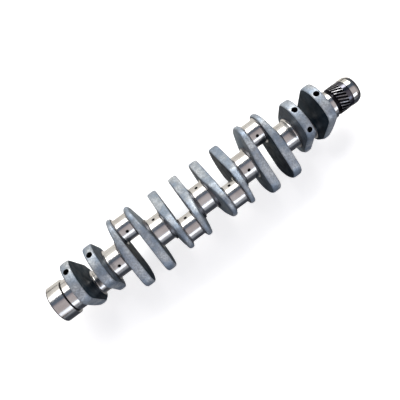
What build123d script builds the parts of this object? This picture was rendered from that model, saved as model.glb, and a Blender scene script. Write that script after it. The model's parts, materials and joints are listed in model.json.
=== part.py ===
from build123d import *
from math import acos, asin, cos, degrees, pi, radians, sin, sqrt, tan
import os

# Inline six-cylinder crankshaft. Millimetres. The origin is the centre of the middle main journal,
# +X runs along the crank axis towards the nose, +Z is up.

# ------------------------------------------------------------------ driving dimensions
CYLINDERS = 6
CYLINDER_PITCH = 142.0
STROKE = 120.0
MAIN_DIA = 85.0
PIN_DIA = 72.0
# Direction of each crankpin, in degrees from +Z towards +Y, flywheel end first.
THROW_ANGLES = (180.0, 60.0, -60.0, -60.0, 60.0, 180.0)

WEB_THICKNESS = 27.0
BOSS_HEIGHT = 1.5            # machined ring that stands off each cheek round a journal
BOSS_WIDTH = 5.5             # how far that ring reaches past the journal's radius
JOURNAL_FILLET = 4.5
COUNTERWEIGHT_RADIUS = 105.0
COUNTERWEIGHT_HALF_WIDTH = 62.0
COUNTERWEIGHT_CORNER = 34.0
WEB_SHOULDER_HEIGHT = 40.0   # the straight sides of a web end this far above the crank axis
WEB_SHOULDER_ROUND = 30.0
PIN_END_RADIUS = 51.0        # outer round of a web past its crankpin
PIN_END_CENTRE = 55.0        # height of that round's centre above the crank axis
WEB_TIP_THICKNESS = 13.0     # what the bevel leaves at the tip of a web
BEVEL_START = 4.0            # height above the crank axis where the bevel begins
WEB_EDGE_ROUND = 3.0

OIL_HOLE_DIA = 6.5
OIL_MOUTH_DIA = 9.0
OIL_HOLE_LEAD = 94.0         # angle between a throw and its oil holes, degrees
BALANCE_HOLE_DIA = 15.0
BALANCE_HOLE_DEPTH = 32.0
# Web number from the flywheel end, and the holes' angles from +Z towards +Y, in degrees.
BALANCE_HOLES = ((1, (15.5,)), (2, (15.5,)), (11, (8.0, -28.0)), (12, (8.0,)))

REAR_JOURNAL_DIA = 95.0
REAR_JOURNAL_END = -442.0
REAR_GROOVE = 3.0
FLANGE_DIA = 106.0
FLANGE_FACE = -483.0
FLANGE_CHAMFER = 2.5
FLANGE_BOLTS = 8
FLANGE_BOLT_CIRCLE = 78.0
FLANGE_THREAD_MINOR_DIA = 10.4
FLANGE_THREAD_DEPTH = 26.0
DOWEL_DIA = 10.0
DOWEL_LENGTH = 22.0
DOWEL_STANDOUT = 8.0

FRONT_JOURNAL_END = 443.0
FRONT_JOURNAL_CHAMFER = 4.0
SNOUT_DIA = 52.0
GEAR_HUB_LENGTH = 9.0
GEAR_TEETH = 26
GEAR_TIP_DIA = 81.0
GEAR_WIDTH = 28.0
GEAR_HELIX = 24.0
GEAR_ROOT_WIDTH = 0.72       # a tooth's width at its root and at its tip, as shares of one tooth step
GEAR_LAND_WIDTH = 0.26
GEAR_SLOTS = 6
GEAR_SLOT_WIDTH = 5.0
GEAR_SLOT_DEPTH = 3.5
GEAR_SLOT_ANGLE = -17.0      # first slot, degrees from +Z towards -Y
THROWER_DIA = 80.0
THROWER_WIDTH = 14.0
NOSE_DIA = 82.0
NOSE_LENGTH = 26.0
NOSE_CHAMFER_LENGTH = 12.0
NOSE_CHAMFER_HEIGHT = 5.0
NOSE_THREAD_MINOR_DIA = 20.9
NOSE_THREAD_DEPTH = 50.0
KEY_WIDTH = 10.0
KEY_HEIGHT = 8.0
KEY_SEAT_DEPTH = 4.5

# Single-row ball bearing, 25 x 52 x 15.
BEARING_BORE = 25.0
BEARING_OD = 52.0
BEARING_WIDTH = 15.0
BALL_DIA = 7.94
BALLS = 9
RACE_CLEARANCE = 0.03
SHIELD_DEPTH = 1.2
SHIELD_SHEET = 0.6
CAGE_SHEET = 0.8
CAGE_HALF_BAND = 1.4
BALL_POCKET_GAP = 0.12
RIVET_R = 0.6
BEARING_RECESS = 6.0         # from the flange face to the bearing
CIRCLIP_THICKNESS = 2.0
CIRCLIP_GROOVE_DEPTH = 1.5
CIRCLIP_BAND = 4.0
CIRCLIP_LUG_R = 3.2
CIRCLIP_LUG_ANGLE = 17.0     # each lug's place on either side of the gap, degrees

# ------------------------------------------------------------------ derived dimensions
THROW = STROKE / 2
JOURNAL_LENGTH = CYLINDER_PITCH / 2 - WEB_THICKNESS - 2 * BOSS_HEIGHT
WEB_OFFSET = JOURNAL_LENGTH / 2 + BOSS_HEIGHT + WEB_THICKNESS / 2
WEB_REACH = WEB_THICKNESS / 2 + BOSS_HEIGHT
MAIN_R = MAIN_DIA / 2
PIN_R = PIN_DIA / 2
WEB_TIP = PIN_END_CENTRE + PIN_END_RADIUS
FIRST_MAIN = -CYLINDER_PITCH * CYLINDERS / 2
BEARING_FACE = FLANGE_FACE + BEARING_RECESS
BEARING_CENTRE = BEARING_FACE + BEARING_WIDTH / 2
BALL_CIRCLE_R = (BEARING_BORE + BEARING_OD) / 4
RACE_LAND = 0.27 * BALL_DIA  # how far each ring's land stays from the ball circle
SHIELD_OUTER_R = BALL_CIRCLE_R + RACE_LAND + 1.2
SHIELD_INNER_R = BALL_CIRCLE_R - RACE_LAND + 0.4
GEAR_START = FRONT_JOURNAL_END + GEAR_HUB_LENGTH
THROWER_START = GEAR_START + GEAR_WIDTH
NOSE_START = THROWER_START + THROWER_WIDTH
NOSE_END = NOSE_START + NOSE_LENGTH
GEAR_NORMAL_MODULE = GEAR_TIP_DIA / (GEAR_TEETH / cos(radians(GEAR_HELIX)) + 2)
GEAR_PITCH_R = GEAR_TIP_DIA / 2 - GEAR_NORMAL_MODULE
GEAR_ROOT_R = GEAR_TIP_DIA / 2 - 2.25 * GEAR_NORMAL_MODULE


# ------------------------------------------------------------------ helpers
def along_x(start, end, radius):
    """A cylinder on the crank axis between two stations."""
    return Pos((start + end) / 2, 0, 0) * Rot(0, 90, 0) * Cylinder(radius, end - start)


def tube(start, end, outer, inner):
    return along_x(start, end, outer) - along_x(start - 1, end + 1, inner)


def turned(profile):
    """Revolve a closed list of (x, radius) points about the crank axis."""
    return revolve(make_face(Plane.XZ * Polyline(*profile, close=True)), Axis.X)


def towards(angle, distance, x=0.0):
    """The point at a distance from the crank axis, at an angle from +Z towards +Y."""
    return Vector(x, distance * sin(radians(angle)), distance * cos(radians(angle)))


def rod_between(start, end, radius):
    """A cylinder from one point to another."""
    axis = end - start
    return extrude(Plane(start, z_dir=axis) * Circle(radius), axis.length)


def main_x(index):
    return FIRST_MAIN + index * CYLINDER_PITCH


def pin_x(index):
    return main_x(index) + CYLINDER_PITCH / 2


# ------------------------------------------------------------------ forging
def filleted_journal(radius):
    """A ground journal centred on the origin, flaring into the boss at each end with a concave fillet."""
    half = JOURNAL_LENGTH / 2
    flare = JOURNAL_FILLET
    dip = flare * (1 - sqrt(0.5))
    outline = [
        Line((-half, 0), (-half, radius + flare)),
        ThreePointArc((-half, radius + flare), (-half + dip, radius + dip), (-half + flare, radius)),
        Line((-half + flare, radius), (half - flare, radius)),
        ThreePointArc((half - flare, radius), (half - dip, radius + dip), (half, radius + flare)),
        Line((half, radius + flare), (half, 0)),
        Line((half, 0), (-half, 0)),
    ]
    return revolve(Plane.XZ * make_face(outline), Axis.X)


def web_outline():
    """Web seen along the crank axis, crankpin upwards: round pin end, sloped shoulders, counterweight arc."""
    w, top = COUNTERWEIGHT_HALF_WIDTH, WEB_SHOULDER_HEIGHT
    bottom = -sqrt(COUNTERWEIGHT_RADIUS**2 - w**2)
    # The shoulder line from (w, top) touches the pin end's circle at this angle above horizontal.
    reach = sqrt(w**2 + (top - PIN_END_CENTRE) ** 2)
    touch = asin((top - PIN_END_CENTRE) / reach) + acos(PIN_END_RADIUS / reach)
    touch_y = PIN_END_RADIUS * cos(touch)
    touch_z = PIN_END_CENTRE + PIN_END_RADIUS * sin(touch)
    outline = make_face([
        Line((w, bottom), (w, top)),
        Line((w, top), (touch_y, touch_z)),
        ThreePointArc((touch_y, touch_z), (0, WEB_TIP), (-touch_y, touch_z)),
        Line((-touch_y, touch_z), (-w, top)),
        Line((-w, top), (-w, bottom)),
        ThreePointArc((-w, bottom), (0, -COUNTERWEIGHT_RADIUS), (w, bottom)),
    ])
    outline = fillet(outline.vertices().sort_by(Axis.Y)[:2], COUNTERWEIGHT_CORNER)
    shoulders = outline.vertices().filter_by(lambda v: abs(v.Y - top) < 0.01)
    return fillet(shoulders, WEB_SHOULDER_ROUND)


def web():
    """A web centred on the crank axis, crankpin above it on the +X side, bevelled on the -X side."""
    half = WEB_THICKNESS / 2
    body = extrude(Plane.YZ.offset(-half) * web_outline(), WEB_THICKNESS)
    # The bevel runs on past the tip and past the cheek by the same slope, so that it cuts both cleanly.
    slope = (WEB_THICKNESS - WEB_TIP_THICKNESS) / (WEB_TIP - BEVEL_START)
    beyond = 20.0
    wedge = Polyline(
        (-half - beyond * slope, BEVEL_START - beyond),
        (half - WEB_TIP_THICKNESS + beyond * slope, WEB_TIP + beyond),
        (-half - beyond, WEB_TIP + beyond),
        (-half - beyond, BEVEL_START - beyond),
        close=True,
    )
    body -= extrude(Plane.XZ * make_face(wedge), COUNTERWEIGHT_RADIUS, both=True)
    body = fillet(body.edges().filter_by(on_cheek), WEB_EDGE_ROUND)
    main_boss = along_x(-WEB_REACH, 0, MAIN_R + BOSS_WIDTH)
    pin_boss = Pos(0, 0, THROW) * along_x(0, WEB_REACH, PIN_R + BOSS_WIDTH)
    return body + main_boss + pin_boss


def on_cheek(edge):
    """True for an outline edge of either cheek: it neither crosses the rim nor is the bevel's own line."""
    box = edge.bounding_box()
    crosses_rim = box.min.X < -1 and box.max.X > 1
    bevel_line = abs(edge.position_at(0.5).Z - BEVEL_START) < 0.01 and edge.length > COUNTERWEIGHT_HALF_WIDTH
    return not crosses_rim and not bevel_line


def throw(index):
    """One crankpin and the two webs that hold it."""
    left = web()
    right = mirror(left, Plane.YZ)
    pin = Pos(0, 0, THROW) * filleted_journal(PIN_R)
    placed = Pos(pin_x(index), 0, 0) * Rot(-THROW_ANGLES[index], 0, 0)
    return [placed * part for part in (Pos(-WEB_OFFSET, 0, 0) * left, pin, Pos(WEB_OFFSET, 0, 0) * right)]


def oil_hole_angle(index):
    """Oil holes lie just past square to their own throw, on its upper side where it has one."""
    angle = THROW_ANGLES[index]
    return angle - OIL_HOLE_LEAD if angle > 0 else angle + OIL_HOLE_LEAD


def cross_hole(centre, angle, radius):
    """A hole right through a journal, with a coned mouth at each side."""
    reach = towards(angle, radius + 1)
    cutter = rod_between(centre - reach, centre + reach, OIL_HOLE_DIA / 2)
    mouth_depth = (OIL_MOUTH_DIA - OIL_HOLE_DIA) / 2
    for side in (1, -1):
        outward = towards(angle, side)
        base = centre + outward * (radius - mouth_depth)
        cone = Cone(OIL_HOLE_DIA / 2, OIL_MOUTH_DIA / 2 + 1, mouth_depth + 1,
                    align=(Align.CENTER, Align.CENTER, Align.MIN))
        cutter += Plane(base, z_dir=outward) * cone
    return cutter


def oil_drillings():
    cutters = []
    for index in range(CYLINDERS):
        angle = oil_hole_angle(index)
        main_centre = Vector(main_x(index), 0, 0)
        pin_centre = towards(THROW_ANGLES[index], THROW, pin_x(index))
        cutters.append(cross_hole(main_centre, angle, REAR_JOURNAL_DIA / 2 if index == 0 else MAIN_R))
        cutters.append(cross_hole(pin_centre, angle, PIN_R))
        start = main_centre + towards(angle, MAIN_R)
        cutters.append(rod_between(start, pin_centre, OIL_HOLE_DIA / 2 - 0.25))
    return cutters


def balance_holes():
    cutters = []
    for number, angles in BALANCE_HOLES:
        pin = (number - 1) // 2
        side = -1 if number % 2 else 1
        x = pin_x(pin) + side * WEB_OFFSET
        for angle in angles:
            bottom = towards(angle, COUNTERWEIGHT_RADIUS - BALANCE_HOLE_DEPTH, x)
            top = towards(angle, COUNTERWEIGHT_RADIUS + 10, x)
            cutters.append(rod_between(bottom, top, BALANCE_HOLE_DIA / 2))
    return cutters


def flywheel_end():
    """Rear main journal, relief groove and flywheel flange."""
    start = main_x(0) + JOURNAL_LENGTH / 2
    journal_r = REAR_JOURNAL_DIA / 2
    groove_r = journal_r - REAR_GROOVE
    flange_r = FLANGE_DIA / 2
    c = FLANGE_CHAMFER
    return turned([
        (start, 0), (start, journal_r),
        (REAR_JOURNAL_END + REAR_GROOVE, journal_r), (REAR_JOURNAL_END + REAR_GROOVE, groove_r),
        (REAR_JOURNAL_END, groove_r), (REAR_JOURNAL_END, flange_r - 1), (REAR_JOURNAL_END - 1, flange_r),
        (FLANGE_FACE + c, flange_r), (FLANGE_FACE, flange_r - c), (FLANGE_FACE, 0),
    ])


def flywheel_end_cuts():
    clip_groove = BEARING_FACE - CIRCLIP_THICKNESS
    cuts = [
        along_x(FLANGE_FACE - 1, BEARING_FACE + BEARING_WIDTH, BEARING_OD / 2),
        along_x(BEARING_FACE + BEARING_WIDTH - 1, BEARING_FACE + BEARING_WIDTH + 12, BEARING_OD / 2 - 5),
        along_x(clip_groove, BEARING_FACE, BEARING_OD / 2 + CIRCLIP_GROOVE_DEPTH),
        dowel_rod(BEARING_RECESS),
    ]
    for i in range(FLANGE_BOLTS):
        centre = towards(360 * (i + 0.5) / FLANGE_BOLTS, FLANGE_BOLT_CIRCLE / 2, FLANGE_FACE)
        cuts.append(rod_between(centre - Vector(1, 0, 0), centre + Vector(FLANGE_THREAD_DEPTH, 0, 0),
                                FLANGE_THREAD_MINOR_DIA / 2))
    return cuts


def dowel_rod(extra=0.0):
    """The dowel's own cylinder, at the bottom of the flange; extra lengthens it out of the face."""
    outer = towards(180, FLANGE_BOLT_CIRCLE / 2, FLANGE_FACE - DOWEL_STANDOUT - extra)
    inner = towards(180, FLANGE_BOLT_CIRCLE / 2, FLANGE_FACE - DOWEL_STANDOUT + DOWEL_LENGTH)
    return rod_between(outer, inner, DOWEL_DIA / 2)


def front_end():
    """Front main journal with its chamfer, and the snout that carries gear, ring and hub."""
    start = main_x(CYLINDERS) - JOURNAL_LENGTH / 2
    c = FRONT_JOURNAL_CHAMFER
    snout_r = SNOUT_DIA / 2
    return turned([
        (start, 0), (start, MAIN_R), (FRONT_JOURNAL_END - c, MAIN_R), (FRONT_JOURNAL_END, MAIN_R - c),
        (FRONT_JOURNAL_END, snout_r), (NOSE_END - 2, snout_r), (NOSE_END - 1, snout_r - 1),
        (NOSE_END - 1, 0),
    ])


def front_end_cuts():
    thread_r = NOSE_THREAD_MINOR_DIA / 2
    hole = along_x(NOSE_END - NOSE_THREAD_DEPTH, NOSE_END, thread_r)
    cone = turned([(NOSE_END - 4, 0), (NOSE_END - 4, thread_r), (NOSE_END, thread_r + 4), (NOSE_END, 0)])
    return [hole, cone, gear_key(), hub_key()]


def crankshaft_forging():
    solids = [flywheel_end(), front_end()]
    for index in range(1, CYLINDERS):
        solids.append(Pos(main_x(index), 0, 0) * filleted_journal(MAIN_R))
    for index in range(CYLINDERS):
        solids += throw(index)
    forging = solids[0].fuse(*solids[1:])
    cutters = oil_drillings() + balance_holes() + flywheel_end_cuts() + front_end_cuts()
    return forging - cutters


# ------------------------------------------------------------------ front drive pieces
def key_block(start, end):
    """A parallel key let into the top of the snout."""
    bottom = SNOUT_DIA / 2 - KEY_SEAT_DEPTH
    block = Box(end - start, KEY_WIDTH, KEY_HEIGHT, align=(Align.MIN, Align.CENTER, Align.MIN))
    block = fillet(block.edges().filter_by(Axis.Z), KEY_WIDTH / 2 - 0.01)
    return Pos(start, 0, bottom) * block


def gear_key():
    return key_block(FRONT_JOURNAL_END + 5, THROWER_START - 3)


def hub_key():
    return key_block(NOSE_START + 3, NOSE_END - 6)


def keyway(start, end):
    """Slot over a key, open at both ends and just clear of the key's top."""
    top = SNOUT_DIA / 2 - KEY_SEAT_DEPTH + KEY_HEIGHT + 0.3
    slot = Box(end - start, KEY_WIDTH, top, align=(Align.MIN, Align.CENTER, Align.MIN))
    return Pos(start, 0, 0) * slot


def gear_outline():
    """Transverse section of the helical gear, with straight flanks and round tips and roots."""
    step = 2 * pi / GEAR_TEETH
    root_half = GEAR_ROOT_WIDTH * step / 2
    tip_half = GEAR_LAND_WIDTH * step / 2
    tip_r = GEAR_TIP_DIA / 2

    def polar(radius, angle):
        return (radius * cos(angle), radius * sin(angle))

    edges = []
    for i in range(GEAR_TEETH):
        a = i * step
        root_in, tip_in = polar(GEAR_ROOT_R, a - root_half), polar(tip_r, a - tip_half)
        tip_out, root_out = polar(tip_r, a + tip_half), polar(GEAR_ROOT_R, a + root_half)
        next_root = polar(GEAR_ROOT_R, a + step - root_half)
        edges += [
            Line(root_in, tip_in),
            ThreePointArc(tip_in, polar(tip_r, a), tip_out),
            Line(tip_out, root_out),
            ThreePointArc(root_out, polar(GEAR_ROOT_R, a + step / 2), next_root),
        ]
    return make_face(edges)


def timing_gear():
    twist = degrees(GEAR_WIDTH * tan(radians(GEAR_HELIX)) / GEAR_PITCH_R)
    section = Plane.YZ.offset(GEAR_START) * gear_outline()
    toothed = Solid.extrude_linear_with_rotation(
        section.face(), (GEAR_START, 0, 0), (GEAR_WIDTH, 0, 0), twist)
    hub = along_x(FRONT_JOURNAL_END, GEAR_START + 1, GEAR_ROOT_R)
    gear = Part() + [toothed, hub]
    gear -= along_x(FRONT_JOURNAL_END - 1, THROWER_START + 1, SNOUT_DIA / 2)
    gear -= keyway(FRONT_JOURNAL_END - 1, THROWER_START + 1)
    for i in range(GEAR_SLOTS):
        slot = Box(2 * GEAR_SLOT_DEPTH, GEAR_SLOT_WIDTH, GEAR_ROOT_R)
        angle = GEAR_SLOT_ANGLE + 360 * i / GEAR_SLOTS
        gear -= Rot(angle, 0, 0) * Pos(FRONT_JOURNAL_END, 0, GEAR_ROOT_R - 2 + GEAR_ROOT_R / 2) * slot
    return gear


def oil_thrower_ring():
    r = THROWER_DIA / 2
    c = 1.5
    return turned([
        (THROWER_START, SNOUT_DIA / 2), (THROWER_START, r - c), (THROWER_START + c, r),
        (NOSE_START - c, r), (NOSE_START, r - c), (NOSE_START, SNOUT_DIA / 2),
    ])


def nose_hub():
    r = NOSE_DIA / 2
    bore = SNOUT_DIA / 2
    hub = turned([
        (NOSE_START, bore), (NOSE_START, r - 1), (NOSE_START + 1, r),
        (NOSE_END - NOSE_CHAMFER_LENGTH, r),
        (NOSE_END - NOSE_CHAMFER_LENGTH / 2, r - NOSE_CHAMFER_HEIGHT / 3),
        (NOSE_END, r - NOSE_CHAMFER_HEIGHT),
        (NOSE_END, bore + 1), (NOSE_END - 1, bore),
    ])
    return hub - keyway(NOSE_START - 1, NOSE_END - 5)


# ------------------------------------------------------------------ flywheel-end pieces
def flywheel_dowel():
    return chamfer(dowel_rod().edges(), 0.8)


def ball_centres():
    return [towards(360 * i / BALLS, BALL_CIRCLE_R, BEARING_CENTRE) for i in range(BALLS)]


def race_groove():
    """Torus that the balls run in, larger than a ball by the running clearance."""
    groove = Torus(BALL_CIRCLE_R, BALL_DIA / 2 + RACE_CLEARANCE)
    return Pos(BEARING_CENTRE, 0, 0) * Rot(0, 90, 0) * groove


def bearing_ring(outer, inner, shield_rebate):
    """A ring with its race, and a rebate at each face for the shields."""
    ring = tube(BEARING_FACE, BEARING_FACE + BEARING_WIDTH, outer, inner)
    for face in (BEARING_FACE, BEARING_FACE + BEARING_WIDTH - SHIELD_DEPTH):
        ring -= tube(face, face + SHIELD_DEPTH, shield_rebate[0], shield_rebate[1])
    return ring - race_groove()


def pilot_bearing_outer_ring():
    inner = BALL_CIRCLE_R + RACE_LAND
    return bearing_ring(BEARING_OD / 2, inner, (SHIELD_OUTER_R, inner - 1))


def pilot_bearing_inner_ring():
    outer = BALL_CIRCLE_R - RACE_LAND
    ring = tube(BEARING_FACE, BEARING_FACE + BEARING_WIDTH, outer, BEARING_BORE / 2)
    return ring - race_groove()


def pilot_bearing_balls():
    return [Pos(c) * Sphere(BALL_DIA / 2) for c in ball_centres()]


def rivet_places():
    return [towards(360 * (i + 0.5) / BALLS, BALL_CIRCLE_R, BEARING_CENTRE) for i in range(BALLS)]


def cage_half(side):
    """Pressed ribbon with a round pocket over each ball; side -1 is the half next to the gearbox."""
    pocket_r = BALL_DIA / 2 + BALL_POCKET_GAP
    outer, inner = BALL_CIRCLE_R + CAGE_HALF_BAND, BALL_CIRCLE_R - CAGE_HALF_BAND
    band = tube(BEARING_CENTRE, BEARING_CENTRE + pocket_r + 2 * CAGE_SHEET, outer, inner)
    half = tube(BEARING_CENTRE, BEARING_CENTRE + CAGE_SHEET, outer, inner)
    half += [Pos(c) * Sphere(pocket_r + CAGE_SHEET) & band for c in ball_centres()]
    half -= [Pos(c) * Sphere(pocket_r) for c in ball_centres()]
    half -= [rod_between(p - Vector(2, 0, 0), p + Vector(2, 0, 0), RIVET_R) for p in rivet_places()]
    return half if side > 0 else mirror(half, Plane.YZ.offset(BEARING_CENTRE))


def pilot_bearing_cage_rivets():
    reach = CAGE_SHEET + 0.4
    head_r = 2 * RIVET_R
    rivets = []
    for p in rivet_places():
        shank = rod_between(p - Vector(reach, 0, 0), p + Vector(reach, 0, 0), RIVET_R)
        heads = [
            rod_between(p + Vector(side * CAGE_SHEET, 0, 0), p + Vector(side * reach, 0, 0), head_r)
            for side in (1, -1)
        ]
        rivets.append(shank + heads)
    return rivets


def shield(face):
    """Thin dished washer snapped into the outer ring, clear of the inner ring."""
    return tube(face, face + SHIELD_SHEET, SHIELD_OUTER_R, SHIELD_INNER_R)


def pilot_bearing_circlip():
    """Internal retaining ring with its gap at the top and a lug with a plier hole at each end."""
    start = BEARING_FACE - CIRCLIP_THICKNESS
    outer = BEARING_OD / 2 + CIRCLIP_GROOVE_DEPTH - 0.1
    inner = outer - CIRCLIP_BAND
    through = Vector(CIRCLIP_THICKNESS, 0, 0)
    ring = tube(start, BEARING_FACE, outer, inner)
    ring -= Pos(start, 0, outer) * Box(10, 9, 12)
    for side in (1, -1):
        lug_centre = towards(side * CIRCLIP_LUG_ANGLE, inner - 1.6, start)
        ring += rod_between(lug_centre, lug_centre + through, CIRCLIP_LUG_R)
        ring -= rod_between(lug_centre - through, lug_centre + 2 * through, 1.2)
    return ring


# ------------------------------------------------------------------ export
def write(name, shape):
    solids = shape if isinstance(shape, list) else shape.solids()
    export_step(Compound(children=list(solids)) if len(solids) > 1 else solids[0], f"parts/{name}.step")


os.makedirs("parts", exist_ok=True)
write("crankshaft_forging", crankshaft_forging())
write("timing_gear", timing_gear())
write("oil_thrower_ring", oil_thrower_ring())
write("nose_hub", nose_hub())
write("gear_key", gear_key())
write("hub_key", hub_key())
write("flywheel_dowel", flywheel_dowel())
write("pilot_bearing_outer_ring", pilot_bearing_outer_ring())
write("pilot_bearing_inner_ring", pilot_bearing_inner_ring())
write("pilot_bearing_balls", pilot_bearing_balls())
write("pilot_bearing_cage_front", cage_half(1))
write("pilot_bearing_cage_rear", cage_half(-1))
write("pilot_bearing_cage_rivets", pilot_bearing_cage_rivets())
write("pilot_bearing_shield_front", shield(BEARING_FACE + BEARING_WIDTH - SHIELD_SHEET))
write("pilot_bearing_shield_rear", shield(BEARING_FACE))
write("pilot_bearing_circlip", pilot_bearing_circlip())
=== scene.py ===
import json
from math import acos, asin, atan2, cos, degrees, hypot, pi, radians, sin, tan

import bpy
from mathutils import Matrix, Vector, noise


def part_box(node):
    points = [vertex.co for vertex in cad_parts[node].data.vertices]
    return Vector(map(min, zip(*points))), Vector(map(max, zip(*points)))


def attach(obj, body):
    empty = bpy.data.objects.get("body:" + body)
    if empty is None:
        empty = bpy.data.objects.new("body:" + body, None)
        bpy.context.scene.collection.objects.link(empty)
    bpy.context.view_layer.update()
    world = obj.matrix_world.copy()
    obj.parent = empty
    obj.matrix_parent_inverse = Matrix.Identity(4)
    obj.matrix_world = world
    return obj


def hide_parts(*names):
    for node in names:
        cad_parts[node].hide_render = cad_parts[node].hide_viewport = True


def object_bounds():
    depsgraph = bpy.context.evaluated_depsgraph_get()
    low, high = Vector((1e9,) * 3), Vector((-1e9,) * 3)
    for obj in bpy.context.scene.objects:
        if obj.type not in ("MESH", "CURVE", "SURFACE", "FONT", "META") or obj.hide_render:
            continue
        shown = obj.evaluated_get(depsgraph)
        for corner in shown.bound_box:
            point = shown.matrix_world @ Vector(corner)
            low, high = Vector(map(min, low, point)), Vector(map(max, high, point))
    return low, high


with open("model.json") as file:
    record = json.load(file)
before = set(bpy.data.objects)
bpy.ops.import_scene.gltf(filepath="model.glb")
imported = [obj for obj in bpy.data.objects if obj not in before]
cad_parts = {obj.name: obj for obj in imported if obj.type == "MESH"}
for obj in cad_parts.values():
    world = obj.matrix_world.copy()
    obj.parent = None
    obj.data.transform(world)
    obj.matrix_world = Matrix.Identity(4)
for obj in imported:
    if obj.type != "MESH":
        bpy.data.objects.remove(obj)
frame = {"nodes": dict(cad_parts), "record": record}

# Looks of an inline six-cylinder crankshaft. Metres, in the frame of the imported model: the crank axis
# is X with the nose at its + end, the middle main journal is at the origin and +Z is up.

FRAME_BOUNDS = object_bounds()

# ------------------------------------------------------------------ sizes and places
MM = 0.001
MOUNTS = {mount["name"]: mount for mount in frame["record"]["mounts"]}
CRANKPINS = [Vector(MOUNTS[f"crankpin_{i}"]["pos_m"]) for i in range(1, 7)]
PITCH = CRANKPINS[1].x - CRANKPINS[0].x
MAINS = [CRANKPINS[0].x - PITCH / 2 + i * PITCH for i in range(7)]
FLANGE_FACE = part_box("crankshaft_forging")[0].x
THROWER_START, THROWER_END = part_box("oil_thrower_ring")[0].x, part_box("oil_thrower_ring")[1].x
NOSE_START, NOSE_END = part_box("nose_hub")[0].x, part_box("nose_hub")[1].x
BEARING_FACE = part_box("pilot_bearing_outer_ring")[0].x
BEARING_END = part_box("pilot_bearing_outer_ring")[1].x
BEARING_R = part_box("pilot_bearing_outer_ring")[1].z

MAIN_R = 42.5 * MM
PIN_R = 36 * MM
WEB_THICKNESS = 27 * MM
BOSS_HEIGHT = 1.5 * MM
BOSS_WIDTH = 5.5 * MM
BOSS_EDGE = 0.6 * MM             # broken edge of a boss
JOURNAL_FILLET = 4.5 * MM
GROUND_HEIGHT = 0.8 * JOURNAL_FILLET     # how far up its fillets a journal is ground
JOURNAL_LENGTH = PITCH / 2 - WEB_THICKNESS - 2 * BOSS_HEIGHT
WEB_OFFSET = (JOURNAL_LENGTH + WEB_THICKNESS) / 2 + BOSS_HEIGHT
BOSS_ROOT = 9 * MM               # how far a journal's boss runs on inside its web

COUNTERWEIGHT_R = 105 * MM
WEB_HALF_WIDTH = 62 * MM
COUNTERWEIGHT_CORNER = 34 * MM
SHOULDER_HEIGHT = 40 * MM
SHOULDER_ROUND = 30 * MM
PIN_END_R = 51 * MM
PIN_END_CENTRE = 55 * MM
WEB_TIP = PIN_END_CENTRE + PIN_END_R
WEB_TIP_THICKNESS = 13 * MM
BEVEL_START = 4 * MM
EDGE_ROUND = 4.6 * MM
RIM_CROWN = 0.5 * MM             # forging draft on the rim
FLASH_HEIGHT = 0.5 * MM          # trimmed flash line across each side of a web
FLASH_HALF_WIDTH = 3.5 * MM
FLASH_SLOPE = 1.2 * MM
FLASH_CENTRE = 8 * MM            # its middle, above the crank axis
SCALE_RELIEF = 0.16 * MM         # unevenness of the forged skin
WEB_HEART = 6 * MM               # where the rows of a web's mesh close, above the crank axis
CHEEK_ROWS = 14                  # rows of points from there to the edge's rounding
ROUND_ROWS = 7                   # over the rounding
RIM_STEPS = 6                    # across the rim
SCALE_AND_SHADE_ROWS = CHEEK_ROWS + 2     # rows on either cheek that keep the dark colour: forging scale and painted shade
OUTER_CHEEK_SCALE_AND_SHADE = 0.8          # share of that dark colour left on the cheeks facing the mains, with less painted shade there
BEVEL_SCALE_AND_SHADE = 0.5                # and on their bevels, up at the crankpin, set to how lit they look: painted light and shade

OIL_HOLE_R = 3.9 * MM
OIL_MOUTH_R = 4.7 * MM
OIL_HOLE_LEAD = 94.0             # degrees between a crankpin's throw and its cross drilling
BALANCE_HOLE_R = 7.5 * MM
BALANCE_HOLE_DEPTH = 32 * MM
BALANCE_HOLE_CHAMFER = 0.8 * MM
# Web number from the flywheel end, and its holes' angles from +Z towards +Y, in degrees.
BALANCE_HOLES = {1: (15.5,), 2: (15.5,), 11: (8.0, -28.0), 12: (8.0,)}

REAR_JOURNAL_R = 47.5 * MM
REAR_JOURNAL_END = FLANGE_FACE + 41 * MM
REAR_GROOVE_WIDTH = 3 * MM
REAR_GROOVE_DEPTH = 3 * MM
FLANGE_R = 53 * MM
FLANGE_ROUND = 3.2 * MM
FLANGE_BOLTS = 8
FLANGE_BOLT_CIRCLE = 78 * MM
FLANGE_BOLT_R = 5.2 * MM
FLANGE_BOLT_DEPTH = 26 * MM
FLANGE_BOLT_PITCH = 1.5 * MM
RELIEF_STEP = 5 * MM             # relief behind the pilot bearing
RELIEF_DEPTH = 12 * MM
CIRCLIP_WIDTH = 2 * MM
CIRCLIP_DEPTH = 1.5 * MM
FRONT_JOURNAL_END = 443 * MM
FRONT_CHAMFER = 4 * MM
SNOUT_R = 26 * MM
THROWER_R = 40 * MM
GEAR_TIP_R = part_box("timing_gear")[1].z
NOSE_R = 41 * MM
NOSE_CHAMFER_LENGTH = 12 * MM
NOSE_CHAMFER_HEIGHT = 5 * MM
NOSE_THREAD_R = 10.45 * MM
NOSE_THREAD_DEPTH = 50 * MM
NOSE_THREAD_PITCH = 3 * MM

TURNED_STEPS = 192               # facets round a turned surface
HOLE_STEPS = 40                  # facets round a drilled hole
FILLET_STEPS = 10                # facets over a journal's fillet
SHARP_ANGLE = radians(38)        # edges sharper than this stay crisp in the shading
OUTLINE_STEPS = 168              # points round a web


# ------------------------------------------------------------------ outlines
def arc(centre, radius, start, end, steps):
    """Points on an arc in the plane, angles in radians from the first axis."""
    angles = [start + (end - start) * i / steps for i in range(steps + 1)]
    return [Vector((centre[0] + radius * cos(a), centre[1] + radius * sin(a))) for a in angles]


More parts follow.
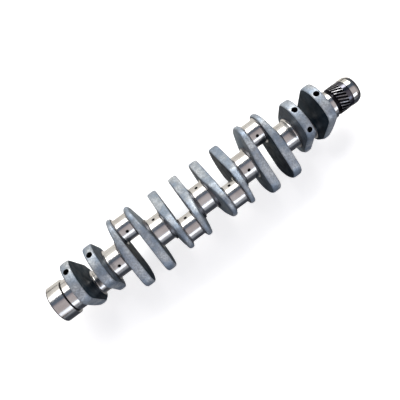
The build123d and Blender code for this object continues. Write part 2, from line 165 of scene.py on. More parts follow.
def rounded(corners, steps=6):
    """A profile of (along, radius, corner round) with each corner replaced by an arc."""
    points = []
    for i, (x, r, size) in enumerate(corners):
        here = Vector((x, r))
        if size == 0 or i in (0, len(corners) - 1):
            points.append(here)
            continue
        before = (Vector(corners[i - 1][:2]) - here).normalized()
        after = (Vector(corners[i + 1][:2]) - here).normalized()
        half = before.angle(after) / 2
        tangent = size / tan(half)
        centre = here + (before + after).normalized() * size / sin(half)
        start, end = here + before * tangent - centre, here + after * tangent - centre
        sweep = start.angle_signed(end)
        for k in range(steps + 1):
            turned = start.copy()
            turned.rotate(Matrix.Rotation(-sweep * k / steps, 2))
            points.append(centre + turned)
    return points


def resampled(points, count):
    """A closed loop as evenly spaced points."""
    loop = points + points[:1]
    lengths = [(b - a).length for a, b in zip(loop, loop[1:])]
    total, result, segment, passed = sum(lengths), [], 0, 0.0
    for i in range(count):
        want = total * i / count
        while passed + lengths[segment] < want:
            passed += lengths[segment]
            segment += 1
        share = (want - passed) / lengths[segment]
        result.append(loop[segment].lerp(loop[segment + 1], share))
    return result


def web_outline():
    """Web seen along the crank axis as (y, z), its crankpin upwards, walked anticlockwise."""
    w, top = WEB_HALF_WIDTH, SHOULDER_HEIGHT
    reach = hypot(w, top - PIN_END_CENTRE)
    touch = asin((top - PIN_END_CENTRE) / reach) + acos(PIN_END_R / reach)
    pin_end = arc((0, PIN_END_CENTRE), PIN_END_R, touch, pi - touch, 40)
    foot = asin(w / COUNTERWEIGHT_R)
    corner = COUNTERWEIGHT_CORNER / COUNTERWEIGHT_R
    weight = arc((0, 0), COUNTERWEIGHT_R, -pi / 2 - foot + corner, -pi / 2 + foot - corner, 30)
    bottom = -COUNTERWEIGHT_R * cos(foot)
    left = rounded([(*pin_end[-1], 0), (-w, top, SHOULDER_ROUND), (-w, bottom, COUNTERWEIGHT_CORNER),
                    (*weight[0], 0)], 12)
    right = rounded([(*weight[-1], 0), (w, bottom, COUNTERWEIGHT_CORNER), (w, top, SHOULDER_ROUND),
                     (*pin_end[0], 0)], 12)
    return resampled(pin_end + left[1:-1] + weight + right[1:-1], OUTLINE_STEPS)


def outward_normals(loop):
    """Unit vectors in the plane that point out of an anticlockwise loop, one for each point."""
    count = len(loop)
    tangents = [(loop[(i + 1) % count] - loop[i - 1]).normalized() for i in range(count)]
    return [Vector((t.y, -t.x)) for t in tangents]


# ------------------------------------------------------------------ mesh building
def add_piece(name, points, faces, material, placed=Matrix.Identity(4), node="crankshaft_forging"):
    """A smooth-shaded mesh that rides on the shaft and stands for a CAD node."""
    mesh = bpy.data.meshes.new(name)
    mesh.from_pydata([placed @ Vector(p) for p in points], [], faces)
    if placed.is_negative:
        mesh.flip_normals()
    mesh.materials.append(material)
    mesh.shade_smooth()
    mesh.set_sharp_from_angle(angle=SHARP_ANGLE)
    piece = bpy.data.objects.new(name, mesh)
    bpy.context.scene.collection.objects.link(piece)
    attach(piece, "shaft")
    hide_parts(node)
    return piece


def turned_mesh(profile, steps=TURNED_STEPS):
    """Revolves (x, radius) points about the X axis. A point at radius 0 is a single vertex."""
    points, rings, faces = [], [], []
    for x, r in profile:
        if r < 1e-7:
            rings.append([len(points)] * steps)
            points.append((x, 0, 0))
        else:
            rings.append(list(range(len(points), len(points) + steps)))
            points += [(x, r * sin(2 * pi * k / steps), r * cos(2 * pi * k / steps)) for k in range(steps)]
    for low, high in zip(rings, rings[1:]):
        for k in range(steps):
            n = (k + 1) % steps
            corners = [low[k], high[k], high[n], low[n]]
            face = [c for i, c in enumerate(corners) if c not in corners[:i]]
            if len(face) > 2:
                faces.append(face)
    return points, faces


def cut(piece, tools, wall):
    """Cuts turned tools, given as (profile, placement), out of a piece, and gives the walls a material."""
    cutters = []
    for profile, placed in tools:
        points, faces = turned_mesh(profile, HOLE_STEPS)
        mesh = bpy.data.meshes.new("cutter")
        mesh.from_pydata([placed @ Vector(p) for p in points], [], faces)
        mesh.materials.append(wall)
        cutter = bpy.data.objects.new("cutter", mesh)
        bpy.context.scene.collection.objects.link(cutter)
        modifier = piece.modifiers.new("cut", "BOOLEAN")
        modifier.operation, modifier.solver, modifier.object = "DIFFERENCE", "EXACT", cutter
        modifier.material_mode = "TRANSFER"
        cutters.append(cutter)
    graph = bpy.context.evaluated_depsgraph_get()
    result = bpy.data.meshes.new_from_object(piece.evaluated_get(graph), depsgraph=graph)
    piece.modifiers.clear()
    piece.data = result
    result.shade_smooth()
    result.set_sharp_from_angle(angle=SHARP_ANGLE)
    for cutter in cutters:
        bpy.data.meshes.remove(cutter.data)


def radial(x, angle, centre=(0.0, 0.0)):
    """Placement whose X axis points away from the crank axis, at an angle from +Z towards +Y."""
    a = radians(angle)
    out, side = Vector((0, sin(a), cos(a))), Vector((1, 0, 0))
    turn = Matrix((out, side, out.cross(side))).transposed().to_4x4()
    return Matrix.Translation((x, *centre)) @ turn


# ------------------------------------------------------------------ forged webs
def bevel_depth(z):
    """How far the bevelled cheek has receded at a height, with a soft start."""
    slope = (WEB_THICKNESS - WEB_TIP_THICKNESS) / (WEB_TIP - BEVEL_START)
    d, soft = z - BEVEL_START, 4 * MM
    return slope * (d + hypot(d, soft)) / 2


def cheek_x(side, z):
    """Cheek's station at a height. The crankpin side, +1, is flat, and the other, -1, is bevelled."""
    return WEB_THICKNESS / 2 if side > 0 else -WEB_THICKNESS / 2 + bevel_depth(z)


def flash_line(y, z):
    """Height of the trimmed flash, which crosses the web's two sides just above the crank axis."""
    if abs(y) < WEB_HALF_WIDTH * 0.9:
        return 0.0
    edge = (FLASH_HALF_WIDTH - abs(z - FLASH_CENTRE)) / FLASH_SLOPE
    return FLASH_HEIGHT * min(max(edge + 0.5, 0.0), 1.0)


def web_rows():
    """Rows of (x, y, z) round the web, from the bevelled cheek's middle over the rim to the other cheek's."""
    loop = web_outline()
    normals = outward_normals(loop)
    heart = Vector((0, WEB_HEART))

    def edge_row(side, turn):
        row = []
        for p, n in zip(loop, normals):
            q = p - n * EDGE_ROUND * (1 - cos(turn))
            row.append((cheek_x(side, q.y) - side * EDGE_ROUND * (1 - sin(turn)), q.x, q.y))
        return row

    def cheek(side):
        rim = [p - n * EDGE_ROUND for p, n in zip(loop, normals)]
        rows = []
        for k in range(1, CHEEK_ROWS + 1):
            share = (k / (CHEEK_ROWS + 1)) ** 0.8
            inner = [heart.lerp(p, share) for p in rim]
            rows.append([(cheek_x(side, q.y), q.x, q.y) for q in inner])
        return rows + [edge_row(side, pi / 2 * (1 - k / ROUND_ROWS)) for k in range(ROUND_ROWS)]

    rim_rows = []
    for k in range(RIM_STEPS + 1):
        share = k / RIM_STEPS
        crown = RIM_CROWN * 4 * share * (1 - share)
        row = []
        for low, high, n in zip(edge_row(-1, 0), edge_row(1, 0), normals):
            out = n * (crown + flash_line(low[1], low[2]) * (0 < k < RIM_STEPS))
            row.append((low[0] + (high[0] - low[0]) * share, low[1] + out.x, low[2] + out.y))
        rim_rows.append(row)
    return heart, cheek(-1) + rim_rows + cheek(1)[::-1]


def uneven(point, seed):
    """Moves a point a little, as the scale pockets of a die-forged skin do."""
    p = Vector(point)
    coarse = noise.noise_vector(p * 42 + seed)
    fine = noise.noise_vector(p * 150 + seed)
    return p + (coarse + fine * 0.35) * SCALE_RELIEF


def scale_and_shade_left(row, rows, z):
    """Share of dark colour on a web, forging scale with painted shade and painted light: the inner cheek's
    all, the outer cheek's less, the rim's none.
    """
    if row < SCALE_AND_SHADE_ROWS:
        bevel = min(max(z / PIN_END_CENTRE, 0.0), 1.0)
        return OUTER_CHEEK_SCALE_AND_SHADE + (BEVEL_SCALE_AND_SHADE - OUTER_CHEEK_SCALE_AND_SHADE) * bevel
    return 1.0 if row >= rows - SCALE_AND_SHADE_ROWS else 0.0


def web_faces(row_count):
    """Joins the rows of a web, and closes either cheek with a fan to its middle point."""
    count, last = OUTLINE_STEPS, 1 + row_count * OUTLINE_STEPS
    faces = []
    for k in range(count):
        n = (k + 1) % count
        faces.append((0, 1 + n, 1 + k))
        faces.append((last, last - count + k, last - count + n))
    for r in range(row_count - 1):
        for k in range(count):
            n = (k + 1) % count
            low, high = 1 + r * count, 1 + (r + 1) * count
            faces.append((low + k, low + n, high + n, high + k))
    return faces


def web_piece(number, material, wall):
    """Web number counts from the flywheel end; odd webs have their crankpin on the nose side."""
    pin = CRANKPINS[(number - 1) // 2]
    odd = number % 2 == 1
    heart, rows = web_rows()
    seed = Vector((3.1 * number, 1.7, 0.4))
    points = [(cheek_x(-1, heart.y), heart.x, heart.y)]
    points += [uneven(p, seed) for row in rows for p in row]
    points.append((cheek_x(1, heart.y), heart.x, heart.y))
    turn = Matrix.Rotation(-atan2(pin.y, pin.z), 4, "X")
    flip = Matrix.Identity(4) if odd else Matrix.Scale(-1, 4, (1, 0, 0))
    station = pin.x + (-WEB_OFFSET if odd else WEB_OFFSET)
    placed = Matrix.Translation((station, 0, 0)) @ turn @ flip
    piece = add_piece(f"web_{number:02d}", points, web_faces(len(rows)), material, placed)
    # The "scale" attribute holds each point's share of dark cheek colour: forging scale with painted shade
    # and painted light.
    scale_and_shade_share = [OUTER_CHEEK_SCALE_AND_SHADE]
    for r, row in enumerate(rows):
        scale_and_shade_share += [scale_and_shade_left(r, len(rows), p[2]) for p in row]
    piece.data.attributes.new("scale", "FLOAT", "POINT").data.foreach_set("value", scale_and_shade_share + [1.0])
    holes = [balance_hole(station, angle) for angle in BALANCE_HOLES.get(number, ())]
    if holes:
        cut(piece, holes, wall)


def balance_hole(x, angle):
    """Drill with a pointed end and a broken edge at the mouth."""
    mouth, r, chamfer = COUNTERWEIGHT_R, BALANCE_HOLE_R, BALANCE_HOLE_CHAMFER
    bottom, beyond = mouth - BALANCE_HOLE_DEPTH, 8 * MM
    profile = [(bottom - r * 0.6, 0), (bottom, r), (mouth - chamfer, r),
               (mouth + beyond, r + beyond + chamfer), (mouth + beyond, 0)]
    return profile, radial(x, angle)


# ------------------------------------------------------------------ ground journals
def journal_profile(radius, half, root):
    """From one boss inside its web, over its face and fillet, along the journal to the other boss."""
    boss, flare = radius + BOSS_WIDTH, JOURNAL_FILLET
    start = [(-half - root, 0), (-half - root, boss)] + rounded(
        [(-half - root, boss, 0), (-half, boss, BOSS_EDGE), (-half, radius + flare, 0)])[1:-1]
    fillet = arc((-half + flare, radius + flare), flare, pi, 1.5 * pi, FILLET_STEPS)
    left = start + [tuple(p) for p in fillet]
    # Short steps along the ground length keep the reflections even.
    middle = [((-half + flare) * (1 - 2 * k / 6), radius) for k in range(1, 6)]
    return left + middle + [(-x, r) for x, r in left[::-1]]


def satin_outside(piece, material, radius, centre=(0.0, 0.0)):
    """Gives a journal's faces beyond a radius a second material, as its bosses are not ground."""
    piece.data.materials.append(material)
    for face in piece.data.polygons:
        reach = hypot(face.center.y - centre[0], face.center.z - centre[1])
        face.material_index = int(reach > radius)


def oil_hole_angle(index):
    """A journal's cross drilling, degrees from +Z towards +Y, led by the crankpin of the same index."""
    pin = CRANKPINS[index]
    angle = degrees(atan2(pin.y, pin.z))
    return angle - OIL_HOLE_LEAD if angle > 0 else angle + OIL_HOLE_LEAD


def oil_hole(radius, placed):
    """Cross drilling right through a journal, with a coned mouth at each side."""
    depth, beyond = OIL_MOUTH_R - OIL_HOLE_R, 3 * MM
    outer = radius + beyond
    flare = OIL_HOLE_R + depth + beyond
    profile = [(-outer, 0), (-outer, flare), (-radius + depth, OIL_HOLE_R), (radius - depth, OIL_HOLE_R),
               (outer, flare), (outer, 0)]
    return profile, placed


def crankpin(index, material, satin, wall):
    """Crankpin with its bosses and cross drilling; the index counts from the flywheel end."""
    pin = CRANKPINS[index]
    points, faces = turned_mesh(journal_profile(PIN_R, JOURNAL_LENGTH / 2, BOSS_HEIGHT + BOSS_ROOT))
    piece = add_piece(f"crankpin_{index + 1}", points, faces, material,
                      Matrix.Translation(pin))
    satin_outside(piece, satin, PIN_R + GROUND_HEIGHT, pin.yz)
    cut(piece, [oil_hole(PIN_R, radial(pin.x, oil_hole_angle(index), (pin.y, pin.z)))], wall)


def main_journal(index, material, satin, wall):
    """One of the five main journals between webs, with its bosses and cross drilling."""
    points, faces = turned_mesh(journal_profile(MAIN_R, JOURNAL_LENGTH / 2, BOSS_HEIGHT + BOSS_ROOT))
    piece = add_piece(f"main_journal_{index + 1}", points, faces, material,
                      Matrix.Translation((MAINS[index], 0, 0)))
    satin_outside(piece, satin, MAIN_R + GROUND_HEIGHT)
    cut(piece, [oil_hole(MAIN_R, radial(MAINS[index], oil_hole_angle(index)))], wall)


def half_journal(radius, boss_face, end):
    """Boss, fillet and ground length of an end journal, walked outwards along X; both may run backwards."""
    way = 1 if end > boss_face else -1
    root = boss_face - way * (BOSS_HEIGHT + BOSS_ROOT)
    boss, flare = radius + BOSS_WIDTH, JOURNAL_FILLET
    turns = [pi / 2 * k / FILLET_STEPS for k in range(FILLET_STEPS + 1)]
    fillet = [(boss_face + way * flare * (1 - cos(a)), radius + flare * (1 - sin(a))) for a in turns]
    start = boss_face + way * flare
    ground = [(start + (end - start) * k / 5, radius) for k in range(1, 5)]
    edge = [(boss_face - way * BOSS_EDGE, boss), (boss_face, boss - BOSS_EDGE)]
    return [(root, 0), (root, boss)] + edge + fillet + ground


def flange_profile():
    """From the rear journal's end through its groove, round the flange and into the bearing recess."""
    end, face, width = REAR_JOURNAL_END, FLANGE_FACE, REAR_GROOVE_WIDTH
    groove_r, recess = REAR_JOURNAL_R - REAR_GROOVE_DEPTH, BEARING_R
    clip, clip_r = BEARING_FACE - CIRCLIP_WIDTH, BEARING_R + CIRCLIP_DEPTH
    bottom, relief = BEARING_END + RELIEF_DEPTH, BEARING_R - RELIEF_STEP
    profile = rounded([
        (end + width, REAR_JOURNAL_R, 0), (end + width, groove_r, 0), (end, groove_r, 0),
        (end, FLANGE_R, 1 * MM), (face, FLANGE_R, FLANGE_ROUND), (face, recess, 0.8 * MM),
        (clip, recess, 0), (clip, clip_r, 0), (BEARING_FACE, clip_r, 0), (BEARING_FACE, recess, 0),
        (BEARING_END, recess, 0), (BEARING_END, relief, 0), (bottom, relief, 0), (bottom, 0, 0),
    ])
    return [tuple(p) for p in profile]


def rear_face_material(x, r):
    """Slot of a face of the rear piece: 1, satin, on boss and flange edge, 2, the near-black wall finish as
    painted shade, in the groove, else 0.
    """
    rim = 0.2 * MM
    groove_end = REAR_JOURNAL_END + REAR_GROOVE_WIDTH
    if REAR_JOURNAL_END - rim < x < groove_end + rim and r < REAR_JOURNAL_R - REAR_GROOVE_DEPTH / 3:
        return 2
    boss = x > groove_end + 7 * MM and r > REAR_JOURNAL_R + GROUND_HEIGHT
    edge = x < FLANGE_FACE + FLANGE_ROUND + rim and r > FLANGE_R - FLANGE_ROUND - rim
    return int(boss or edge)


def rear_journal_and_flange(material, satin, wall):
    """Rear main journal, relief groove, and the flywheel flange with its oil-seal land and bearing recess."""
    boss_face, end = MAINS[0] + JOURNAL_LENGTH / 2, REAR_JOURNAL_END + REAR_GROOVE_WIDTH
    points, faces = turned_mesh(half_journal(REAR_JOURNAL_R, boss_face, end) + flange_profile())
    piece = add_piece("rear_journal_and_flange", points, faces, material)
    piece.data.materials.append(satin)
    piece.data.materials.append(wall)
    for face in piece.data.polygons:
        face.material_index = rear_face_material(face.center.x, hypot(face.center.y, face.center.z))
    tools = [oil_hole(REAR_JOURNAL_R, radial(MAINS[0], oil_hole_angle(0)))]
    for i in range(FLANGE_BOLTS):
        angle = 2 * pi * (i + 0.5) / FLANGE_BOLTS
        y, z = FLANGE_BOLT_CIRCLE / 2 * sin(angle), FLANGE_BOLT_CIRCLE / 2 * cos(angle)
        tools.append((bolt_hole_profile(), Matrix.Translation((FLANGE_FACE, y, z))))
    cut(piece, tools, wall)


def bolt_hole_profile():
    """Threaded hole as its chamfered mouth and shallow thread grooves, from outside the face inwards."""
    r, pitch, depth = FLANGE_BOLT_R, FLANGE_BOLT_PITCH, 0.6 * MM
    profile = [(-2 * MM, 0), (-2 * MM, r + 2.8 * MM), (0.8 * MM, r + 0.2 * MM)]
    for k in range(8):
        x = 1.4 * MM + k * pitch
        profile += [(x, r), (x + pitch / 2, r + depth)]
    return profile + [(FLANGE_BOLT_DEPTH, r), (FLANGE_BOLT_DEPTH + 3 * MM, 0)]


def front_journal_and_snout(material):
    """Front main journal, chamfered where it meets the gear, and the snout with its centre thread."""
    end, face, r = FRONT_JOURNAL_END, NOSE_END - 1 * MM, NOSE_THREAD_R
    chamfer, pitch, bottom = FRONT_CHAMFER, NOSE_THREAD_PITCH, NOSE_END - NOSE_THREAD_DEPTH
    journal = half_journal(MAIN_R, MAINS[6] - JOURNAL_LENGTH / 2, end)
    bore = []
    for k in range(12):
        x = NOSE_END - 5 * MM - k * pitch
        bore += [(x, r, 0), (x - pitch / 2, r + 1.2 * MM, 0)]
    tail = rounded([
        (end - 2 * chamfer, MAIN_R, 0), (end - chamfer, MAIN_R, 1 * MM), (end, MAIN_R - chamfer, 1 * MM),
        (end, SNOUT_R, 0), (face, SNOUT_R, 1 * MM), (face, r + 4 * MM, 0.5 * MM),
        (face - 3 * MM, r + 0.2 * MM, 0)] + bore + [(bottom, r, 0), (bottom - 6 * MM, 0, 0)])
    points, faces = turned_mesh(journal[:-1] + [tuple(p) for p in tail])
    add_piece("front_journal_and_snout", points, faces, material)


# ------------------------------------------------------------------ front drive pieces
def thrower(material):
    """Oil-thrower ring with rounded edges."""
    a, b, r = THROWER_START, THROWER_END, THROWER_R
    profile = rounded([
        (a, SNOUT_R, 0), (a, r, 1.4 * MM), (b, r, 1.4 * MM), (b, SNOUT_R, 0)])
    points, faces = turned_mesh([tuple(p) for p in profile] + [(a, SNOUT_R)])
    add_piece("oil_thrower", points, faces, material, node="oil_thrower_ring")


def nose(material):
    """Polished nose hub whose front end runs down in a soft, two-step chamfer."""
    a, b, r = NOSE_START, NOSE_END, NOSE_R
    length, height = NOSE_CHAMFER_LENGTH, NOSE_CHAMFER_HEIGHT
    profile = rounded([
        (a, SNOUT_R, 0), (a, r, 1 * MM), (b - length, r, 10 * MM),
        (b - length / 2, r - 0.34 * height, 8 * MM), (b, r - height, 1.2 * MM),
        (b, SNOUT_R, 0.8 * MM), (b - 5 * MM, SNOUT_R, 0)])
    points, faces = turned_mesh([tuple(p) for p in profile] + [(a, SNOUT_R)])
    add_piece("nose_hub_turned", points, faces, material, node="nose_hub")


# ------------------------------------------------------------------ materials
CREAM = (0.74, 0.71, 0.66)       # floor and wall on the key light's side, as the polished steel sees them


class Nodes:
    """Short way to wire up the nodes of a material, a light or the world."""

    def __init__(self, tree):
        self.tree = tree

    def add(self, kind, **settings):
        node = self.tree.nodes.new(kind)
        for key, value in settings.items():
            setattr(node, key, value)
        return node

    def link(self, value, socket):
        if isinstance(value, bpy.types.NodeSocket):
            self.tree.links.new(value, socket)
        else:
            socket.default_value = value

    def math(self, operation, a, b=0.0, clamp=False):
        node = self.add("ShaderNodeMath", operation=operation, use_clamp=clamp)
        self.link(a, node.inputs[0])
        self.link(b, node.inputs[1])
        return node.outputs[0]

    def ramp(self, value, low, high, to_low=0.0, to_high=1.0, kind="SMOOTHSTEP"):
        node = self.add("ShaderNodeMapRange", interpolation_type=kind)
        self.link(value, node.inputs["Value"])
        for name, number in (("From Min", low), ("From Max", high), ("To Min", to_low), ("To Max", to_high)):
            node.inputs[name].default_value = number
        return node.outputs[0]

    def mix(self, share, a, b):
        node = self.add("ShaderNodeMix", data_type="RGBA")
        self.link(share, node.inputs["Factor"])
        self.link(a if isinstance(a, bpy.types.NodeSocket) else (*a, 1), node.inputs["A"])
        self.link(b if isinstance(b, bpy.types.NodeSocket) else (*b, 1), node.inputs["B"])
        return node.outputs["Result"]

    def axis_parts(self, socket):
        node = self.add("ShaderNodeSeparateXYZ")
        self.link(socket, node.inputs[0])
        return node.outputs


class MaterialNodes(Nodes):
    """Nodes of a new material, which is patterned by place in the frame."""

    def __init__(self, name):
        self.material = bpy.data.materials.new(name)
        self.material.use_nodes = True
        super().__init__(self.material.node_tree)
        self.shader = self.tree.nodes["Principled BSDF"]
        self.place = self.add("ShaderNodeTexCoord").outputs["Object"]

    def set(self, name, value):
        self.link(value, self.shader.inputs[name])

    def noise(self, scale, detail=3.0, stretch=(1, 1, 1)):
        mapping = self.add("ShaderNodeMapping")
        self.link(self.place, mapping.inputs["Vector"])
        mapping.inputs["Scale"].default_value = stretch
        node = self.add("ShaderNodeTexNoise")
        self.link(mapping.outputs[0], node.inputs["Vector"])
        node.inputs["Scale"].default_value = scale
        node.inputs["Detail"].default_value = detail
        return node.outputs["Fac"]

    def bump(self, height, distance, strength=1.0):
        node = self.add("ShaderNodeBump")
        self.link(height, node.inputs["Height"])
        node.inputs["Distance"].default_value = distance
        node.inputs["Strength"].default_value = strength
        self.set("Normal", node.outputs[0])


def forged_steel():
    """Shot-blasted forging: blue-grey rims, and cheeks that keep some dark forging scale, with painted shade
    and painted light in how much of it each cheek keeps.
    """
    n = MaterialNodes("forged_steel")
    blotch = n.noise(26, 4)
    grain = n.noise(420, 5)
    speckle = n.ramp(n.noise(210, 5), 0.40, 0.60)
    rim = n.mix(n.ramp(blotch, 0.35, 0.7), (0.27, 0.335, 0.42), (0.62, 0.655, 0.68))
    # scale: the cheeks' dark colour, forging scale made darker and bluer as painted shade.
    scale = n.mix(n.ramp(n.noise(14, 5), 0.38, 0.66), (0.004, 0.013, 0.025), (0.012, 0.027, 0.042))
    # Its share, from the web's "scale" attribute, is partly painted shade and painted light.
    scale_and_shade_share = n.add("ShaderNodeAttribute", attribute_name="scale").outputs["Fac"]
    ragged = n.math("MULTIPLY", scale_and_shade_share, n.ramp(blotch, 0.2, 0.8, 0.9, 1.2), clamp=True)
    stain = n.math("MULTIPLY", scale_and_shade_share, n.ramp(n.noise(11, 3), 0.5, 0.68, 0, 0.32))
    colour = n.mix(stain, n.mix(ragged, rim, scale), (0.075, 0.045, 0.026))
    pits = n.mix(ragged, (0.20, 0.22, 0.25), scale)
    n.set("Base Color", n.mix(n.math("MULTIPLY", speckle, 0.5), colour, pits))
    n.set("Metallic", n.ramp(ragged, 0, 1, 0.6, 0.05))
    n.set("Specular IOR Level", n.ramp(ragged, 0, 1, 0.5, 0.06))
    n.set("Specular Tint", n.mix(ragged, (1, 1, 1), (0.55, 0.82, 1.0)))
    n.set("Roughness", n.ramp(n.noise(60, 4), 0.3, 0.7, 0.4, 0.56))
    n.bump(grain, 0.15 * MM, 0.6)
    return n.material


def shaded_bore_steel():
    """Drilled wall, nearly black: painted shade in the holes and the rear groove."""
    n = MaterialNodes("shaded_bore_steel")
    n.set("Base Color", n.mix(n.noise(300, 3), (0.008, 0.008, 0.01), (0.02, 0.02, 0.022)))
    n.set("Metallic", 0.2)
    n.set("Roughness", 0.6)
    n.bump(n.noise(900, 2, (1, 0.02, 0.02)), 0.05 * MM, 0.5)
    return n.material


def ground_steel():
    """Ground and lapped journal: mirror bright, with fine lines running round it."""
    n = MaterialNodes("ground_steel")
    lines = n.noise(900, 2, (1, 0.012, 0.012))
    film = n.noise(22, 3)
    n.set("Base Color", n.mix(n.ramp(film, 0.35, 0.7), (0.80, 0.795, 0.785), (0.68, 0.655, 0.635)))
    n.set("Metallic", 1.0)
    n.set("Roughness", n.ramp(lines, 0.3, 0.7, 0.17, 0.21))
    n.bump(lines, 0.002 * MM, 0.3)
    return n.material


def gear_steel():
    """Black-oxide gear whose tooth lands carry a painted highlight, lighter in patches."""
    n = MaterialNodes("gear_steel")
    _, y, z = n.axis_parts(n.place)
    from_axis = n.math("SQRT", n.math("ADD", n.math("MULTIPLY", y, y), n.math("MULTIPLY", z, z)))
    # Painted highlight: a lighter colour on the tooth lands, near the tip radius, for the light streaks along
    # the teeth.
    land = n.ramp(from_axis, GEAR_TIP_R - 0.5 * MM, GEAR_TIP_R - 0.15 * MM)
    patchy = n.math("MULTIPLY", land, n.ramp(n.noise(180, 4), 0.25, 0.6, 0.45, 1))
    n.set("Base Color", n.mix(patchy, (0.014, 0.014, 0.018), (0.42, 0.42, 0.44)))
    n.set("Metallic", 0.9)
    n.set("Roughness", n.ramp(n.noise(140, 3), 0.3, 0.7, 0.22, 0.38))
    n.bump(n.noise(500, 3), 0.03 * MM, 0.3)
    return n.material


def turned_steel(name, colour, darker, rough, metallic=1.0):
    """Turned and polished part with fine circular tool marks."""
    n = MaterialNodes(name)
    lines = n.noise(1100, 2, (1, 0.01, 0.01))
    n.set("Base Color", n.mix(n.ramp(n.noise(30, 3), 0.35, 0.7), colour, darker))
    n.set("Metallic", metallic)
    n.set("Roughness", n.ramp(lines, 0.3, 0.7, rough * 0.7, rough * 1.3))
    n.bump(lines, 0.005 * MM, 0.5)
    return n.material


def floor_material():
    """Matt pale card. Mirrors see a painted reflection of it instead: cream on the key light's side, and a
    painted shadow close by on the other.
    """
    n = MaterialNodes("pale_floor")
    rays = n.add("ShaderNodeLightPath")
    n.set("Base Color", n.mix(n.noise(3, 2), (0.80, 0.80, 0.80), (0.84, 0.84, 0.84)))
    n.set("Roughness", 0.9)
    n.set("Specular IOR Level", 0.1)
    n.set("Emission Color", (1, 1, 1, 1))
    n.set("Emission Strength", n.ramp(rays.outputs["Is Camera Ray"], 0, 1, 0.1, 0.6))
    along, across, _ = n.axis_parts(n.place)
    # Painted shadow: glossy rays see the floor dark just beside the shaft on the -Y side.
    near = n.mix(n.ramp(across, -0.12, 0.12), (0.05, 0.055, 0.07), CREAM)
    sides = n.mix(n.ramp(across, -0.6, -0.25), (0.34, 0.37, 0.42), near)
    past_end = n.ramp(n.math("ABSOLUTE", along), 0.6, 0.9)
    mirrored = n.add("ShaderNodeEmission")
    n.link(n.mix(past_end, sides, (0.07, 0.07, 0.08)), mirrored.inputs["Color"])
    choice = n.add("ShaderNodeMixShader")
    n.link(rays.outputs["Is Glossy Ray"], choice.inputs[0])
    n.link(n.shader.outputs[0], choice.inputs[1])
    n.link(mirrored.outputs[0], choice.inputs[2])
    n.link(choice.outputs[0], n.tree.nodes["Material Output"].inputs["Surface"])
    return n.material


# ------------------------------------------------------------------ studio
# Where the eye is: leaned from straight above towards -Y, swung along the shaft, and rolled.
CAMERA_LEAN = radians(15.74)
CAMERA_SWING = radians(3.13)
CAMERA_ROLL = radians(36.45)
CAMERA_DISTANCE = 1.25
CAMERA_AIM = (-3.11 * MM, 4.03 * MM)     # along the shaft and across it, from the middle main journal
CAMERA_LENS = 41.04
CAMERA_SHIFT = -0.0068

FLOOR_GAP = 1 * MM               # between the lowest point of the crankshaft and the floor
FLOOR_HALF_WIDTH = 6.0

# The room's colour by direction, from 0 at -Y to 1 at +Y: a grey far side, a gap that is dark next to
# the key light, and a cream wall behind it.
ROOM_STOPS = (
    (0.32, (0.52, 0.48, 0.49)),
    (0.43, (0.38, 0.34, 0.36)),
    (0.49, (0.09, 0.12, 0.17)),
    (0.86, (0.12, 0.13, 0.15)),
    (0.90, CREAM),
    (0.96, (0.80, 0.77, 0.72)),
)
ROOM_ENDS = (0.06, 0.06, 0.07)
BACKDROP = (0.86, 0.87, 0.88)


def make_camera():
    """Camera at the eye's place; its three axes come from the lean, the swing and the roll."""
    across = Vector((0, -cos(CAMERA_LEAN), -sin(CAMERA_LEAN)))
    up = Vector((0, -sin(CAMERA_LEAN), cos(CAMERA_LEAN)))
    along = Vector((1, 0, 0)) * cos(CAMERA_SWING) + up * sin(CAMERA_SWING)
    back = up * cos(CAMERA_SWING) - Vector((1, 0, 0)) * sin(CAMERA_SWING)
    right = along * cos(CAMERA_ROLL) + across * sin(CAMERA_ROLL)
    top = along * sin(CAMERA_ROLL) - across * cos(CAMERA_ROLL)
    data = bpy.data.cameras.new("camera")
    data.lens = CAMERA_LENS
    data.shift_x = CAMERA_SHIFT
    data.clip_start = 0.01
    camera = bpy.data.objects.new("camera", data)
    place = along * CAMERA_AIM[0] + across * CAMERA_AIM[1] + back * CAMERA_DISTANCE
    camera.matrix_world = Matrix.Translation(place) @ Matrix((right, top, back)).transposed().to_4x4()
    bpy.context.scene.collection.objects.link(camera)
    bpy.context.scene.camera = camera


def make_floor():
    """A pale sheet just under the crankshaft."""
    z, half = FRAME_BOUNDS[0].z - FLOOR_GAP, FLOOR_HALF_WIDTH
    corners = [(-half, -half, z), (half, -half, z), (half, half, z), (-half, half, z)]
    mesh = bpy.data.meshes.new("floor")
    mesh.from_pydata(corners, [], [(0, 1, 2, 3)])
    mesh.materials.append(floor_material())
    floor = bpy.data.objects.new("floor", mesh)
    bpy.context.scene.collection.objects.link(floor)


def light_pattern(tree, edges, ends):
    """Fades a soft box's light over its edges and changes it along the shaft."""
    n = Nodes(tree)
    along, across, _ = n.axis_parts(n.add("ShaderNodeNewGeometry").outputs["Parametric"])
    inside = n.math("MULTIPLY", n.ramp(across, 0.0, edges[0]), n.ramp(across, 1.0, 1.0 - edges[1]))
    factor = n.ramp(along, 0.0, 1.0, *ends, kind="LINEAR")
    n.link(n.math("MULTIPLY", inside, factor), tree.nodes["Emission"].inputs["Strength"])


def soft_light(name, angle, distance, size, power, colour, edges, ends):
    """A long soft box beside the shaft, at an angle from straight up towards +Y, facing the shaft.

    Its light fades in and out over the two shares of its width in `edges`, the -Y side's first, and
    changes along the shaft from the first factor in `ends`, at the flange's side, to the second.
    """
    data = bpy.data.lights.new(name, "AREA")
    data.shape, data.size, data.size_y = "RECTANGLE", size[0], size[1]
    data.energy, data.color = power, colour
    data.use_nodes = True
    light_pattern(data.node_tree, edges, ends)
    light = bpy.data.objects.new(name, data)
    light.matrix_world = Matrix.Rotation(-radians(angle), 4, "X") @ Matrix.Translation((0, 0, distance))
    bpy.context.scene.collection.objects.link(light)


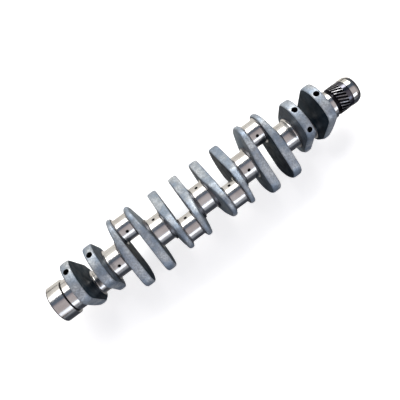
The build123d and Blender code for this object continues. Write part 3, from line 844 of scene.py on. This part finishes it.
def make_world():
    """The room that the steel mirrors, dark at the shaft's two ends. The camera sees a pale backdrop."""
    world = bpy.data.worlds.new("room")
    bpy.context.scene.world = world
    world.use_nodes = True
    n = Nodes(world.node_tree)
    along, across, _ = n.axis_parts(n.add("ShaderNodeTexCoord").outputs["Generated"])
    shade = n.add("ShaderNodeValToRGB")
    stops = shade.color_ramp.elements
    for stop, (position, colour) in zip(stops, (ROOM_STOPS[0], ROOM_STOPS[-1])):
        stop.position, stop.color = position, (*colour, 1)
    for position, colour in ROOM_STOPS[1:-1]:
        stops.new(position).color = (*colour, 1)
    n.link(n.ramp(across, -1, 1, kind="LINEAR"), shade.inputs[0])
    end_on = n.ramp(n.math("ABSOLUTE", along), 0.75, 0.95, kind="LINEAR")
    room = n.mix(end_on, shade.outputs[0], ROOM_ENDS)
    seen = n.mix(n.add("ShaderNodeLightPath").outputs["Is Camera Ray"], room, BACKDROP)
    n.link(seen, n.tree.nodes["Background"].inputs["Color"])


# ------------------------------------------------------------------ put together
def finish_cad_node(name, material):
    """Gives a carried-over CAD node its material."""
    materials = frame["nodes"][name].data.materials
    for i in range(len(materials)):
        materials[i] = material
    if not materials:
        materials.append(material)


# bore: the nearly black wall finish, painted shade for the drilled holes and the rear groove.
forged, ground, bore = forged_steel(), ground_steel(), shaded_bore_steel()
satin = turned_steel("satin_steel", (0.17, 0.17, 0.18), (0.12, 0.12, 0.13), 0.35)
for web_number in range(1, 13):
    web_piece(web_number, forged, bore)
for main in range(1, 6):
    main_journal(main, ground, satin, bore)
for throw in range(6):
    crankpin(throw, ground, satin, bore)
rear_journal_and_flange(ground, satin, bore)
front_journal_and_snout(ground)
thrower(turned_steel("ring_steel", (0.14, 0.14, 0.165), (0.09, 0.09, 0.11), 0.14))
nose(turned_steel("polished_steel", (0.80, 0.79, 0.76), (0.70, 0.68, 0.64), 0.08))

finish_cad_node("timing_gear", gear_steel())
key_steel = turned_steel("key_steel", (0.42, 0.42, 0.44), (0.33, 0.33, 0.35), 0.3)
bearing_steel = turned_steel("bearing_steel", (0.66, 0.67, 0.69), (0.58, 0.59, 0.61), 0.12)
cage_steel = turned_steel("cage_steel", (0.58, 0.56, 0.50), (0.50, 0.48, 0.42), 0.3)
clip_steel = turned_steel("clip_steel", (0.08, 0.08, 0.09), (0.05, 0.05, 0.055), 0.35, 0.7)
for node in ("gear_key", "hub_key", "flywheel_dowel"):
    finish_cad_node(node, key_steel)
for node in ("outer_ring", "inner_ring", "balls"):
    finish_cad_node(f"pilot_bearing_{node}", bearing_steel)
for node in ("cage_front", "cage_rear", "cage_rivets", "shield_front", "shield_rear"):
    finish_cad_node(f"pilot_bearing_{node}", cage_steel)
finish_cad_node("pilot_bearing_circlip", clip_steel)

make_floor()
make_world()
soft_light("key_box", 44, 1.6, (3.2, 1.15), 54, (1.0, 0.985, 0.96), (0.08, 0.6), (0.3, 1.6))
soft_light("fill_box", -72, 2.2, (3.2, 0.85), 13, (0.74, 0.86, 1.0), (0.08, 0.08), (0.8, 1.2))
make_camera()
bpy.context.scene.view_settings.view_transform = "Standard"
